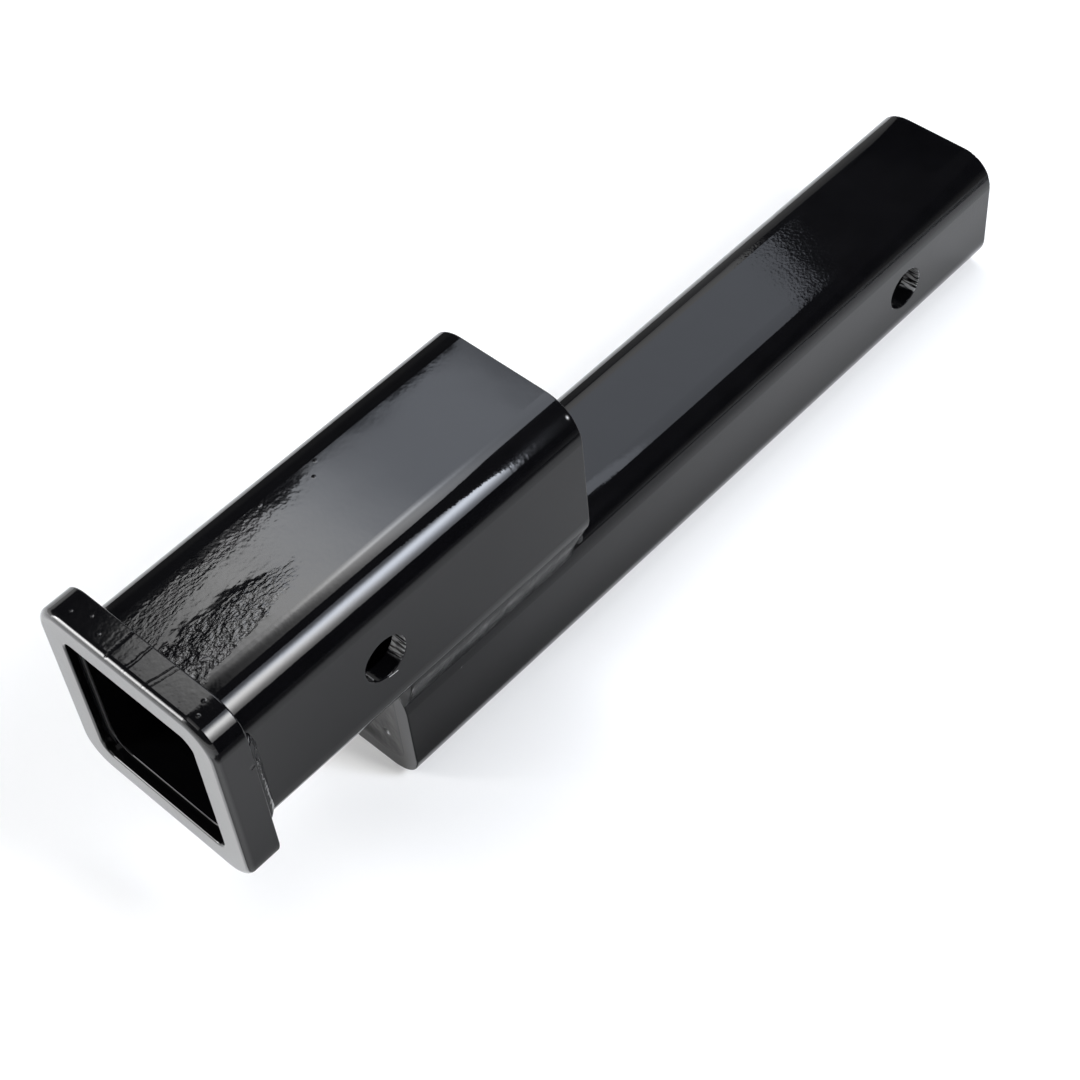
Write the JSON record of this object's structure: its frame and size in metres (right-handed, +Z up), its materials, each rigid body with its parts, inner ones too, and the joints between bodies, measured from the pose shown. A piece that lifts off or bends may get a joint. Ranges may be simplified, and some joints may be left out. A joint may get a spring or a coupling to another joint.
{
  "type": "hitch receiver extender",
  "caption": "Square receiver tube with a collared mouth, welded on top of a longer square shank that slides into a vehicle's receiver; both have cross pin holes.",
  "frame": {"origin": "on the plane that the shank rests on, midway along the whole length and midway across", "axes": "+X along both tubes, from the receiver's mouth to the shank's far end; +Z up, from the shank to the receiver; Y across, along the pin holes"},
  "size_m": [0.3792, 0.0762, 0.1207],
  "materials": {
    "tube_coat": "gloss black powder coat with light orange peel",
    "collar_coat": "gloss black powder coat with fine runs",
    "weld_coat": "gloss black powder coat over weld beads"
  },
  "bodies": {
    "root": {"receiver_tube": "tube_coat", "receiver_collar": "collar_coat", "shank_tube": "tube_coat", "shank_end_cap": "tube_coat", "end_cap_weld": "weld_coat", "seam_weld_right": "weld_coat", "seam_weld_left": "weld_coat", "receiver_end_weld": "weld_coat", "shank_end_weld": "weld_coat", "collar_weld_right": "weld_coat", "collar_weld_left": "weld_coat"}
  },
  "joints": []
}
